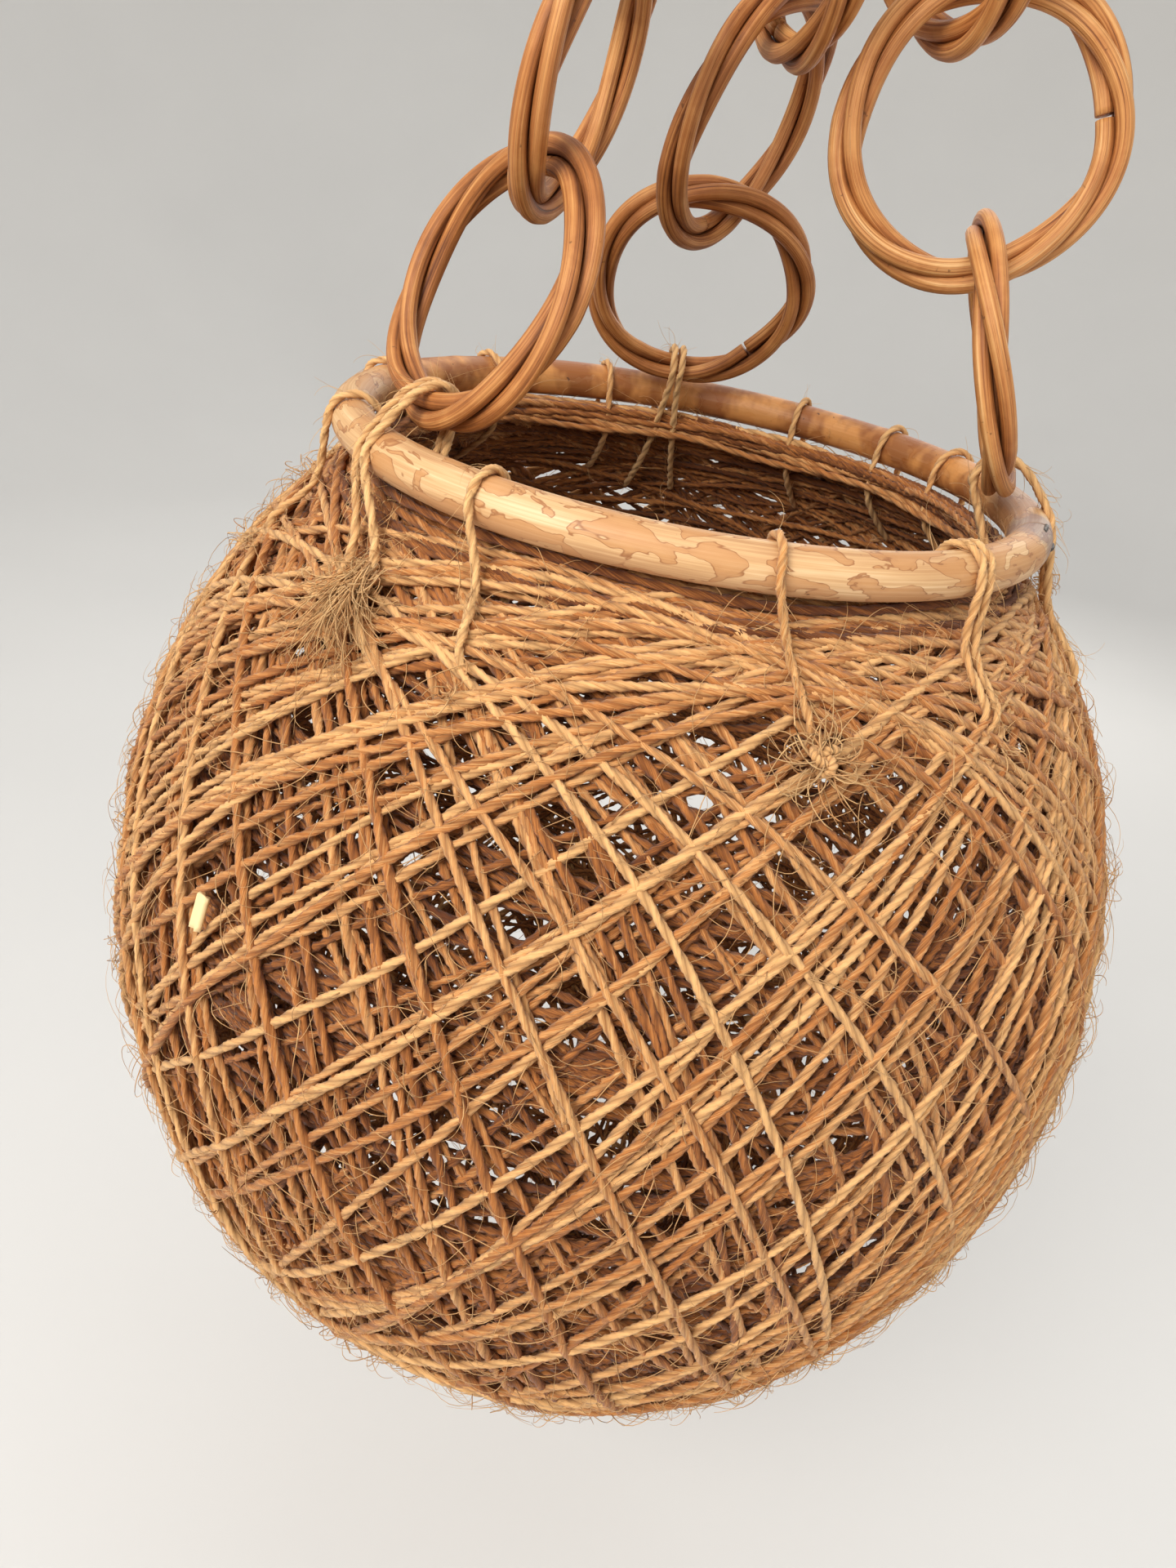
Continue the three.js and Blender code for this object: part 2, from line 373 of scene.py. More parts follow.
def rattan_material():
    """Rattan core: satin, honey-brown, with long pores, lengthwise creases and painted shade in the grooves
    between its strands.
    """
    m = Nodes("rattan")
    fibre = m.attribute("fibre", "Vector")
    tint = m.attribute("tint", "Fac")
    pores = m.noise(m.scaled(fibre, (30, 5.5, 5.5)), 1.0, 4.0, 0.7)
    creases = m.noise(m.scaled(fibre, (14, 2.4, 2.4)), 1.0, 4.0, 0.65)
    patches = m.noise(m.position(), 60.0, 4.0, 0.6, 0.4)
    level = m.math("MULTIPLY_ADD", creases, 0.75, m.math("MULTIPLY", patches, 0.4))
    # The tint holds each ring's own tone, and painted shade that darkens the grooves deep in the bundle.
    level = m.math("ADD", level, m.math("MULTIPLY_ADD", tint, 0.3, -0.2))
    shade = m.ramp(
        level,
        (0.22, colour(108, 60, 26)),
        (0.42, colour(174, 108, 54)),
        (0.58, colour(208, 146, 84)),
        (0.8, colour(238, 192, 132)),
    )
    lines = m.ramp(pores, (0.36, 1.0), (0.5, 0.0))
    shade = m.mix(m.math("MULTIPLY", lines, 0.6), shade, colour(118, 62, 26))
    cracks = m.ramp(creases, (0.31, 1.0), (0.37, 0.0))
    shade = m.mix(m.math("MULTIPLY", cracks, 0.8), shade, colour(84, 42, 18))
    specks = m.ramp(m.noise(m.position(), 420.0, 2.0), (0.71, 0.0), (0.76, 1.0))
    shade = m.mix(m.math("MULTIPLY", specks, 0.6), shade, colour(80, 44, 22))
    m.link(shade, m.shader.inputs["Base Color"])
    m.link(m.ramp(pores, (0.3, 0.62), (0.65, 0.44)), m.shader.inputs["Roughness"])
    m.shader.inputs["Specular IOR Level"].default_value = 0.36
    m.bump(m.math("MULTIPLY_ADD", creases, 1.2, pores), 0.6, 0.4 * MM)
    return m.material


STAIN_REACH = 22 * MM


def cane_material():
    """The rim: pale peeled cane with tide marks on its outside, darker honey round the back."""
    m = Nodes("cane")
    fibre = m.attribute("fibre", "Vector")
    place = m.parts(m.position())
    grain = m.noise(m.scaled(fibre, (16, 9, 9)), 1.0, 4.0, 0.7)
    broad = m.noise(m.scaled(fibre, (22, 1.2, 1.2)), 1.0, 3.0, 0.6)
    shade = m.ramp(
        m.math("MULTIPLY_ADD", grain, 0.5, m.math("MULTIPLY", broad, 0.5)),
        (0.33, colour(180, 130, 84)),
        (0.5, colour(208, 164, 114)),
        (0.68, colour(232, 198, 152)),
    )
    # The tide marks: a wet edge that dried in lobes, with a darker line where it stopped.
    tide = m.noise(m.scaled(fibre, (95, 1.1, 1.1)), 1.0, 2.5, 0.55, 0.5)
    stained = m.ramp(tide, (0.485, 0.0), (0.5, 1.0))
    edge = m.ramp(tide, (0.478, 0.0), (0.492, 1.0), (0.512, 0.12), (0.6, 0.0))
    shade = m.mix(m.math("MULTIPLY", stained, 0.65), shade, colour(190, 132, 78))
    shade = m.mix(m.math("MULTIPLY", edge, 0.85), shade, colour(142, 84, 42))
    # The underside is pinkish grey, and the back of the hoop is a darker honey with cross bands.
    drop = m.math("MULTIPLY_ADD", place["Z"], -1 / CANE_RADIUS, RIM_CENTRE[2] / CANE_RADIUS)
    under = m.ramp(drop, (0.1, 0.0), (0.8, 1.0))
    shade = m.mix(m.math("MULTIPLY", under, 0.45), shade, colour(190, 150, 118))
    back = m.ramp(m.math("MULTIPLY_ADD", place["Y"], 0.5 / RIM_RADIUS, 0.5), (0.42, 0.0), (0.66, 1.0))
    banding = m.noise(m.scaled(fibre, (70, 0.3, 0.3)), 1.0, 3.0)
    bands = m.ramp(banding, (0.42, colour(146, 82, 34)), (0.58, colour(208, 142, 76)))
    shade = m.mix(m.math("MULTIPLY", back, 0.85), shade, bands)
    specks = m.ramp(m.noise(m.position(), 300.0, 2.0), (0.735, 0.0), (0.77, 1.0))
    shade = m.mix(m.math("MULTIPLY", specks, 0.75), shade, colour(70, 48, 38))
    # The cane is stained grey round the staples that close its joint.
    far = m.node("ShaderNodeVectorMath", operation="DISTANCE")
    m.link(m.position(), far.inputs[0])
    far.inputs[1].default_value = tuple(JOINT_PLACE)
    blot = m.noise(m.scaled(fibre, (120, 1.5, 1.5)), 1.0, 3.0)
    near = m.math("MULTIPLY_ADD", far.outputs["Value"], -1 / STAIN_REACH, 1.0)
    stain = m.ramp(m.math("ADD", near, m.math("MULTIPLY_ADD", blot, 0.8, -0.4)), (0.3, 0.0), (0.6, 1.0))
    shade = m.mix(m.math("MULTIPLY", stain, 0.6), shade, colour(112, 100, 104))
    m.link(shade, m.shader.inputs["Base Color"])
    m.link(m.ramp(grain, (0.3, 0.55), (0.7, 0.42)), m.shader.inputs["Roughness"])
    m.shader.inputs["Specular IOR Level"].default_value = 0.4
    m.bump(m.math("MULTIPLY_ADD", broad, 0.5, grain), 0.35, 0.3 * MM)
    return m.material


def steel_material():
    """Staple wire: dark, with worn brighter patches."""
    m = Nodes("staple_steel")
    wear = m.noise(m.position(), 900.0, 3.0)
    shade = m.ramp(wear, (0.35, colour(46, 40, 36)), (0.7, colour(120, 112, 104)))
    m.link(shade, m.shader.inputs["Base Color"])
    m.link(m.ramp(wear, (0.3, 0.65), (0.7, 0.4)), m.shader.inputs["Roughness"])
    m.shader.inputs["Metallic"].default_value = 0.8
    m.bump(wear, 0.3, 0.1 * MM)
    return m.material


def plain_material(name, shade):
    """One matt colour, with faint patches."""
    m = Nodes(name)
    tone = m.noise(m.position(), 3.0, 2.0)
    darker = tuple(0.97 * c for c in shade)
    m.link(m.ramp(tone, (0.3, darker), (0.7, shade)), m.shader.inputs["Base Color"])
    m.shader.inputs["Roughness"].default_value = 0.9
    return m.material


BALL_TWINE = twine_material(
    "ball_twine",
    dark=colour(96, 48, 14),
    middle=colour(184, 114, 54),
    pale=colour(230, 178, 116),
)
LASHING_TWINE = twine_material(
    "lashing_twine",
    dark=colour(128, 72, 28),
    middle=colour(204, 136, 72),
    pale=colour(238, 190, 128),
)
RATTAN = rattan_material()
CANE = cane_material()
STEEL = steel_material()
SPLINTER = plain_material("pale_splinter", colour(246, 214, 158))


# ---------------------------------------------------------------- the wound ball


def on_ball(sphere, inset):
    """Points of the unit sphere as points of the ball, at an inset from its outside."""
    return BALL_CENTRE + sphere * (BALL_SIZE[None] - np.asarray(inset)[:, None])


def ball_normals(points):
    return unit((points - BALL_CENTRE) / BALL_SIZE**2)


def polar_point(azimuth, polar):
    """A point of the unit sphere. The polar angle is counted from the top."""
    angle = math.radians(polar)
    return direction(azimuth) * math.sin(angle) + UP * math.cos(angle)


# How far a turn strays from its circle, in radians, in long waves and in short ones.
SWAY, TREMOR = 0.008, 0.0022

# The most that the winding reaches over the mouth of the CAD's ball, and how much that varies, in degrees.
MOUTH_OVERHANG, MOUTH_SPREAD = 2.6, 2.8

# How softly a turn bends where it meets the mouth, and how far from the mouth the bend ends, in radians.
MOUTH_SOFTNESS, MOUTH_NEAR = 0.012, 0.3


def winding_path(top, bottom, azimuth, inset, step):
    """A closed turn of twine, between its highest and its lowest polar angle.

    Its axis leans towards the azimuth, so its highest point lies on the other side of the ball.
    """
    axis = polar_point(azimuth, (bottom - top) / 2)
    reach = math.radians((bottom + top) / 2)
    count = max(60, int(2 * np.pi * math.sin(reach) * BALL_RADIUS / step))
    across = unit(np.cross(UP, axis))
    level = np.cross(axis, across)
    turn = np.linspace(0, 2 * np.pi, count, endpoint=False)
    lean = reach + waves(count, (2, 3, 4, 5), SWAY) + waves(count, (9, 13, 17), TREMOR)
    sphere = (
        np.cos(lean)[:, None] * axis
        + (np.sin(lean) * np.cos(turn))[:, None] * across
        + (np.sin(lean) * np.sin(turn))[:, None] * level
    )
    # No turn crosses the mouth: near it, the twine is carried round its edge.
    least = math.radians(MOUTH_ANGLE - MOUTH_OVERHANG + MOUTH_SPREAD * rng.uniform() ** 2)
    polar = np.arccos(np.clip(sphere[:, 2], -1, 1))
    kept = least + MOUTH_SOFTNESS * np.logaddexp(0, (polar - least) / MOUTH_SOFTNESS)
    kept = np.minimum(np.where(polar > least + MOUTH_NEAR, polar, kept), np.pi - 1e-3)
    flat = unit(sphere * np.array([1, 1, 0]))
    sphere = flat * np.sin(kept)[:, None] + UP * np.cos(kept)[:, None]
    depth = inset + waves(count, (3, 5, 7, 11), 0.22 * MM)
    return on_ball(sphere, np.clip(depth, TWINE_RADIUS * 0.9, WALL))


def spread(count, centre, span):
    """Azimuths spread evenly over a span, each a little off its place, in random order."""
    places = (np.arange(count) + rng.uniform(0.1, 0.9, count)) / count - 0.5
    return rng.permutation(centre + span * places)


class Family(NamedTuple):
    """Turns of twine that lie alike. Angles are degrees and insets are millimetres."""

    turns: int
    azimuth: float  # the side that their axes lean to
    span: float  # the stretch of azimuths over which the axes spread
    top: tuple  # the least and the greatest polar angle of a turn's highest point
    drop: tuple  # how many degrees further down its lowest point lies, at least and at most
    inset: tuple  # how deep the first turn and the last lie under the ball's outside
    tint: tuple  # the darkest and the palest
    fine: bool = True  # drawn with eight corners and short steps, as the turns seen from outside are


# From the inside out. The first lie nearly level, and the last, seen on the outside, cross them steeply. Each
# turn's tint is random within its family's range, and the ranges rise outwards: painted shade that darkens
# the deeper turns.
FAMILIES = [
    Family(60, 0, 360, top=(38, 100), drop=(6, 34), inset=(6.9, 6.2), tint=(-0.2, 0.3), fine=False),
    Family(64, 0, 360, top=(62, 116), drop=(52, 70), inset=(6.2, 5.6), tint=(-0.2, 0.4), fine=False),
    Family(12, 0, 360, top=(32, 37), drop=(0.5, 4), inset=(6.0, 1.4), tint=(-0.2, 0.7)),
    Family(74, 0, 360, top=(33, 48), drop=(76, 134), inset=(5.6, 4.6), tint=(-0.1, 0.5), fine=False),
    Family(52, 0, 200, top=(34, 42), drop=(104, 140), inset=(4.5, 3.1), tint=(0.1, 0.7)),
    Family(56, 180, 210, top=(34, 41), drop=(84, 122), inset=(3.0, 1.6), tint=(0.3, 1.0)),
    Family(20, 0, 250, top=(36, 46), drop=(100, 138), inset=(1.6, 1.25), tint=(0.3, 1.0)),
    Family(10, 180, 200, top=(36, 43), drop=(90, 118), inset=(1.3, 1.15), tint=(0.4, 1.0)),
]
LOWEST_POLAR = 178


def around_rim(angle):
    """Level unit vectors that point outwards at each angle, in radians."""
    return np.stack([np.cos(angle), np.sin(angle), 0 * angle], axis=1)


def collar():
    """Level turns that crowd under the cane and fill the gap between it and the winding."""
    strands = Strands()
    count = COLLAR_POINTS
    angle = np.linspace(0, 2 * np.pi, count, endpoint=False)
    outward = around_rim(angle)
    for _ in range(COLLAR_TURNS):
        drop = CANE_RADIUS + rng.uniform(0.8, 8.5) * MM + waves(count, (2, 3, 5, 8), 0.9 * MM)
        reach = RIM_RADIUS - rng.uniform(1.0, 8.0) * MM + waves(count, (2, 4, 7), 0.8 * MM)
        path = RIM_CENTRE + outward * reach[:, None] - UP * drop[:, None]
        tangents = loop_tangents(path)
        normals = unit(np.cross(tangents, UP))
        turn = round(2 * np.pi * RIM_RADIUS / TWINE_LAY) * angle
        radius = TWINE_RADIUS * rng.uniform(0.9, 1.1) * (1 + waves(count, (7, 12, 19), 0.06))
        strands.add(path, tangents, normals, radius, TWO_PLY, turn, rng.uniform(-0.1, 0.7), True)
    return strands


def build_pieces(name, pieces):
    for number, strands in enumerate(pieces, 1):
        strands.build(f"{name}_{number}", BALL_TWINE, BODY, "ball_twine", ["twine_ball"])


def wind_ball():
    """Every turn of the ball, split into pieces of a size that keeps all its faces. Returns the paths too."""
    turns = []
    pieces = [Strands()]
    for family in FAMILIES:
        azimuths = spread(family.turns, family.azimuth, family.span)
        insets = np.linspace(*family.inset, family.turns) * MM
        for azimuth, inset in zip(azimuths, insets):
            top = rng.uniform(*family.top)
            bottom = min(top + rng.uniform(*family.drop), LOWEST_POLAR)
            path = winding_path(top, bottom, azimuth, inset, TWINE_STEP if family.fine else COARSE_STEP)
            tangents = loop_tangents(path)
            normals = ball_normals(path)
            normals = unit(normals - tangents * np.sum(normals * tangents, axis=1, keepdims=True))
            length = np.linalg.norm(np.roll(path, -1, axis=0) - path, axis=1).sum()
            count = len(path)
            lays = max(1, round(length / TWINE_LAY))
            turn = 2 * np.pi * lays * np.arange(count) / count + waves(count, (2, 3, 5), 0.6)
            size = TWINE_RADIUS * rng.uniform(*TWINE_SIZES)
            radius = size * (1 + waves(count, (7, 12, 19, 31, 44), 0.07))
            section = TWO_PLY if family.fine else COARSE_PLY
            tint = rng.uniform(*family.tint)
            pieces[-1].add(path, tangents, normals, radius, section, turn, tint, closed=True)
            turns.append((path, tangents, normals, inset))
            if pieces[-1].quad_count > MOST_QUADS:
                pieces.append(Strands())
    pieces.append(collar())
    build_pieces("ball_winding", pieces)
    return turns


def add_hair(strands, root, along, outward, length, curl, lift, radius, tint):
    """A loose fibre that leaves a strand, curls over the surface and stands off it by up to lift."""
    side = np.cross(outward, along)
    share = np.linspace(0, 1, HAIR_POINTS)
    bend = rng.normal(0, curl) + np.cumsum(rng.normal(0, curl * 0.45, HAIR_POINTS))
    heading = np.cumsum(bend) / HAIR_POINTS * 2
    forward = np.cumsum(np.cos(heading)) * length / HAIR_POINTS
    sidelong = np.cumsum(np.sin(heading)) * length / HAIR_POINTS
    away = np.hypot(forward, sidelong)
    # It rises and comes down again, and the last term lets it follow the ball.
    height = lift * (np.sin(share * np.pi * rng.uniform(0.4, 1.1)) + 0.15) - away**2 / (2 * BALL_RADIUS)
    path = root + forward[:, None] * along + sidelong[:, None] * side + height[:, None] * outward
    tangents = unit(np.gradient(path, axis=0))
    normals = unit(np.cross(tangents, side + 1e-4))
    widths = radius * (1 - 0.65 * share)
    strands.add(path, tangents, normals, widths, HAIR, np.zeros(HAIR_POINTS), tint, closed=False)


def fuzz(turns, count):
    """Loose fibres all over the ball, most of them on its outer turns."""
    weights = np.array([0.25 + (WALL - inset) / WALL for *_, inset in turns])
    chosen = rng.choice(len(turns), count, p=weights / weights.sum())
    pieces = [Strands()]
    for index in chosen:
        path, tangents, normals, inset = turns[index]
        place = rng.integers(len(path))
        # The turns crowd together round the mouth, where most of their fibres are pressed flat.
        if path[place][2] > CROWDED_HEIGHT and rng.uniform() < PRESSED_FLAT:
            continue
        slant = rng.normal(0, 0.55)
        along = tangents[place] * rng.choice([-1, 1])
        along = unit(along * math.cos(slant) + np.cross(normals[place], along) * math.sin(slant))
        root = path[place] + normals[place] * 0.5 * TWINE_RADIUS
        length = min(rng.gamma(3.0, 4.4 * MM) + 4 * MM, LONGEST_FIBRE)
        lift = rng.uniform(0.2, 2.6) * MM + min(inset, 3 * MM)
        radius = rng.uniform(0.09, 0.2) * MM
        tint = rng.uniform(0.7, 1.8)
        add_hair(pieces[-1], root, along, normals[place], length, 0.55, lift, radius, tint)
        if pieces[-1].quad_count > MOST_QUADS:
            pieces.append(Strands())
    build_pieces("ball_fibres", pieces)


# ---------------------------------------------------------------- the rim


RIM_POINTS, RIM_SIDES = 420, 28
CANE_NODES = (0.18, 0.46, 0.71)  # shares of the way round at which the cane has a node
JOINT_SLANT = 0.8  # how far the cut at the joint leans, in radii of the cane
JOINT_GAP = 0.5 * MM


def build_rim():
    """The cane hoop: its thickness varies a little, and it is cut on a slant where its ends meet."""
    joint = JOINT_PLACE - RIM_CENTRE
    start = math.atan2(joint[1], joint[0])
    half_gap = JOINT_GAP / 2 / RIM_RADIUS
    strands = Strands()
    share = np.linspace(0, 1, RIM_POINTS)
    swell = 1 + 0.018 * np.sin(share * 6 * np.pi + 1) + 0.012 * np.sin(share * 17 * np.pi)
    for node in CANE_NODES:
        swell += 0.035 * np.exp(-(((share - node) / 0.006) ** 2))
    around = np.linspace(0, 2 * np.pi, RIM_SIDES, endpoint=False)
    angle = start + half_gap + share * (2 * np.pi - 2 * half_gap)
    outward = around_rim(angle)
    path = RIM_CENTRE + RIM_RADIUS * outward
    tangents = around_rim(angle + np.pi / 2)
    radius = CANE_RADIUS * 0.985 * np.minimum(swell, 1.03)
    strands.add(path, tangents, outward, radius, np.ones(RIM_SIDES), 0 * share, 0.5, closed=False)
    # Both ends are cut on the same slant: their sections are sheared along the hoop.
    points = strands.points[0].reshape(RIM_POINTS, RIM_SIDES, 3)
    near_end = np.maximum(np.exp(-share / 0.02), np.exp(-(1 - share) / 0.02))
    shear = np.cos(around)[None] * (CANE_RADIUS * JOINT_SLANT) * near_end[:, None]
    points = points + shear[..., None] * tangents[:, None]
    strands.points[0] = points.reshape(-1, 3)
    strands.build("rim_cane_hoop", CANE, BODY, "rim_cane", ["rim_cane"])


# ---------------------------------------------------------------- the rings


RING_NODES = 3  # how many nodes of the vine show on each ring


def ring_frame(node):
    """Centre, normal, radius and bundle radius of a ring, from its CAD node."""
    mesh = frame["nodes"][node].data
    points = np.array([v.co for v in mesh.vertices])
    centre = points.mean(axis=0)
    offsets = points - centre
    normal = np.linalg.svd(offsets, full_matrices=False)[2][2]
    bundle = np.ptp(offsets @ normal) / 2
    flat = offsets - np.outer(offsets @ normal, normal)
    return centre, normal, np.linalg.norm(flat, axis=1).max() - bundle, bundle


def build_ring(node):
    """One long rattan core, coiled three times round the ring and twisted about itself as it goes."""
    centre, normal, radius, bundle = ring_frame(node)
    # Three round strands that touch each other fill a round bundle.
    strand = bundle / (1 + 2 / math.sqrt(3))
    offset = bundle - strand
    across = unit(np.cross(normal, UP + 0.01))
    level = np.cross(normal, across)
    length = 2 * np.pi * radius * LAPS
    count = int(length / RATTAN_STEP)
    first = rng.uniform(0, 2 * np.pi)
    lap = np.linspace(0, LAPS - CUT_GAP, count)
    angle = first + 2 * np.pi * lap
    # After each lap the twist ends two thirds of a turn on, so the strand lies beside itself.
    # It starts at half a turn, which puts the cut ends on the inside of the ring.
    rate = round(TURNS_PER_LAP * radius / SMALL_RING - 2 / 3) + 2 / 3
    twist = np.pi + 2 * np.pi * rate * lap + waves(count, (2, 3, 5), 0.10)
    loose = offset * (1 + waves(count, (3, 4, 7, 9), 0.03))
    end = np.minimum(lap, LAPS - CUT_GAP - lap) / 0.03
    loose = loose + 0.25 * MM * np.exp(-(end**2))
    radial = np.cos(angle)[:, None] * across + np.sin(angle)[:, None] * level
    uneven = 0.35 * MM * (np.cos(3 * angle + first) + 0.6 * np.cos(5 * angle))
    radius = radius + uneven
    across_bundle = radial * (radius + loose * np.cos(twist))[:, None]
    path = centre + across_bundle + normal * (loose * np.sin(twist))[:, None]
    tangents, normals = carried_normals(path, radial[0])
    size = strand * (0.985 + waves(count, (5, 9, 14), 0.018))
    for place in rng.uniform(0.05, 0.95, RING_NODES):
        size = size * (1 + 0.05 * np.exp(-(((lap / LAPS - place) / 0.004) ** 2)))
    strands = Strands()
    strands.add(path, tangents, normals, size, RATTAN_SIDES, np.zeros(count), 0.0, closed=False)
    # The tint says how deep a point lies in the bundle, so that painted shade darkens the grooves between the
    # strands.
    points = strands.points[0] - centre
    flat = points - np.outer(points @ normal, normal)
    around = np.repeat(radius, len(RATTAN_SIDES))
    depth = 1 - np.hypot(np.linalg.norm(flat, axis=1) - around, points @ normal) / bundle
    strands.tint = [rng.uniform(0.25, 0.6) - 1.6 * np.clip(depth - 0.18, 0, 1)]
    strands.build(f"{node}_coil", RATTAN, node, "ring_rattan", [node])


# ---------------------------------------------------------------- lashings and ties


DRIFT_DEPTH = 30 * MM
SEWING_GAP = 2.3 * TWINE_RADIUS  # between the middles of two twines sewn side by side


def ball_reach(drop, inset):
    """The ball's radius at a depth under the rim, measured to a surface that lies inset from its outside."""
    height = RIM_CENTRE[2] - drop - BALL_CENTRE[2]
    return (BALL_RADIUS - inset) * math.sqrt(1 - (height / (BALL_HALF_HEIGHT - inset)) ** 2)


def in_plane(azimuth, route, drift=0.0):
    """Points given as (radius, height above the rim) in the radial plane of an azimuth.

    They turn by drift degrees for every DRIFT_DEPTH that they lie under the rim.
    """
    out = []
    for reach, height in route:
        turn = azimuth + drift * max(0.0, -height) / DRIFT_DEPTH
        out.append(RIM_CENTRE + direction(turn) * reach + UP * height)
    return np.array(out)


def sewn_loop(over, depth):
    """A loop over the cane, down outside the ball, in through its wall and up on the inside."""
    clear = TWINE_RADIUS * 0.9
    return [
        *over,
        (ball_reach(depth / 2, 0) + clear, -depth / 2),
        (ball_reach(depth * 0.85, 0) + clear * 0.6, -depth * 0.85),
        (ball_reach(depth, WALL / 2), -depth - WALL / 4),
        (ball_reach(depth * 0.9, WALL) - clear, -depth * 0.9),
        (ball_reach(depth / 2, WALL) - clear, -depth / 2),
    ]


def node_azimuth(node):
    low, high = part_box(node)
    middle = (np.array(low) + np.array(high)) / 2
    return math.degrees(math.atan2(middle[1], middle[0])) % 360


def down_ball(outward):
    """The steepest way down along the ball's surface."""
    return unit(-UP - outward * (-UP @ outward))


def add_frayed_end(strands, root, outward, heading, count, length, curl, fan=0.7):
    """A burst of curly fibres where a twine was cut and came undone. fan is how widely they spread."""
    for _ in range(count):
        slant = rng.normal(0, fan)
        along = unit(heading * math.cos(slant) + np.cross(outward, heading) * math.sin(slant))
        spot = root + rng.normal(0, 1.3 * MM, 3)
        lift = rng.uniform(0.3, 5.0) * MM
        width = rng.uniform(0.14, 0.3) * MM
        reach = rng.uniform(0.5, 1.3) * length
        add_hair(strands, spot, along, outward, reach, curl, lift, width, rng.uniform(0.4, 1.4))


def add_sewing_hairs(strands, path, azimuth, count):
    """Short fibres that stand off a sewn twine."""
    outward = direction(azimuth)
    for _ in range(count):
        place = rng.integers(1, len(path) - 1)
        along = unit(path[place + 1] - path[place - 1])
        normal = unit(rng.normal(0, 0.6, 3) + outward)
        normal = unit(normal - along * (normal @ along))
        root = path[place] + normal * 0.6 * TWINE_RADIUS
        add_hair(strands, root, along, normal, rng.uniform(4, 14) * MM, 0.5, 2 * MM, 0.09 * MM, 1.0)


def add_sewn_twine(strands, azimuth, route, lay, size, unevenness, tint, hairs):
    """A closed loop of twine through a route of points, with its fibres.

    tint holds its darkest and its palest value.
    """
    path = smooth_loop(route)
    count = len(path)
    tangents = loop_tangents(path)
    normals = unit(np.cross(np.cross(UP, direction(azimuth)), tangents))
    lays = max(1, round(count * SEWING_STEP / lay))
    turn = 2 * np.pi * lays * np.arange(count) / count
    radius = TWINE_RADIUS * size * (1 + waves(count, (3, 5, 8), unevenness))
    strands.add(path, tangents, normals, radius, TWO_PLY, turn, rng.uniform(*tint), closed=True)
    add_sewing_hairs(strands, path, azimuth, hairs)


KNOT_POINTS = 70


def add_knot(strands, centre, outward, size):
    """A small granny knot: a trefoil of twine that lies against the ball."""
    turn = np.linspace(0, 2 * np.pi, KNOT_POINTS, endpoint=False)
    side = unit(np.cross(UP, outward))
    rise = np.cross(outward, side)
    x = (np.sin(turn) + 2 * np.sin(2 * turn)) / 3
    y = (np.cos(turn) - 2 * np.cos(2 * turn)) / 3
    z = -np.sin(3 * turn) / 3
    path = centre + size * (x[:, None] * side + y[:, None] * rise + (0.9 * z + 0.35)[:, None] * outward)
    tangents = loop_tangents(path)
    normals = unit(np.cross(tangents, side + 0.3 * rise))
    radius = np.full(KNOT_POINTS, TWINE_RADIUS * 0.9)
    strands.add(path, tangents, normals, radius, TWO_PLY, 12 * turn, 0.8, closed=True)


def within(azimuth, stretch):
    return stretch[0] < azimuth < stretch[1]


def sewing_depth(node):
    """How far under the rim a sewn twine's middle reaches."""
    low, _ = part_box(node)
    return RIM_CENTRE[2] - low[2] - 2 * TWINE_RADIUS


def build_lashing(node, doubled, knotted):
    """A twine sewn round the cane and through the ball's wall, with a short frayed end or a knot."""
    azimuth = node_azimuth(node)
    # Those at the front were pulled sideways as they were sewn.
    drift = 6.0 if within(azimuth, FRONT) else rng.uniform(-2.0, 2.0)
    depth = sewing_depth(node)
    reach = CANE_RADIUS + TWINE_RADIUS * 0.95
    over = [
        (RIM_RADIUS - reach - 0.5 * MM, -1 * MM),
        (RIM_RADIUS - 0.72 * reach, 0.72 * reach),
        (RIM_RADIUS, reach),
        (RIM_RADIUS + 0.72 * reach, 0.70 * reach),
        (RIM_RADIUS + reach, -1 * MM),
    ]
    strands = Strands()
    for shift in (-0.55, 0.55) if doubled else (0.0,):
        degrees = shift * math.degrees(SEWING_GAP / RIM_RADIUS)
        route = in_plane(azimuth + degrees, sewn_loop(over, depth * rng.uniform(0.92, 1.0)), drift)
        add_sewn_twine(strands, azimuth, route, 11 * MM, 0.95, 0.05, (0.6, 0.9), 26)
    foot = in_plane(azimuth, [(ball_reach(depth, 0) + 0.5 * MM, -depth)], drift)[0]
    outward = ball_normals(foot[None])[0]
    heading = down_ball(outward)
    if knotted:
        add_frayed_end(strands, foot, outward, heading, 45, 17 * MM, 0.9)
        add_knot(strands, foot + outward * 0.4 * MM, outward, 3.0 * MM)
        add_frayed_end(strands, foot, outward, -heading, 30, 15 * MM, 1.2)
    else:
        add_frayed_end(strands, foot, outward, heading, 12, 8 * MM, 0.9)
    strands.build(f"{node}_twine", LASHING_TWINE, BODY, "lashing_twine", [node])


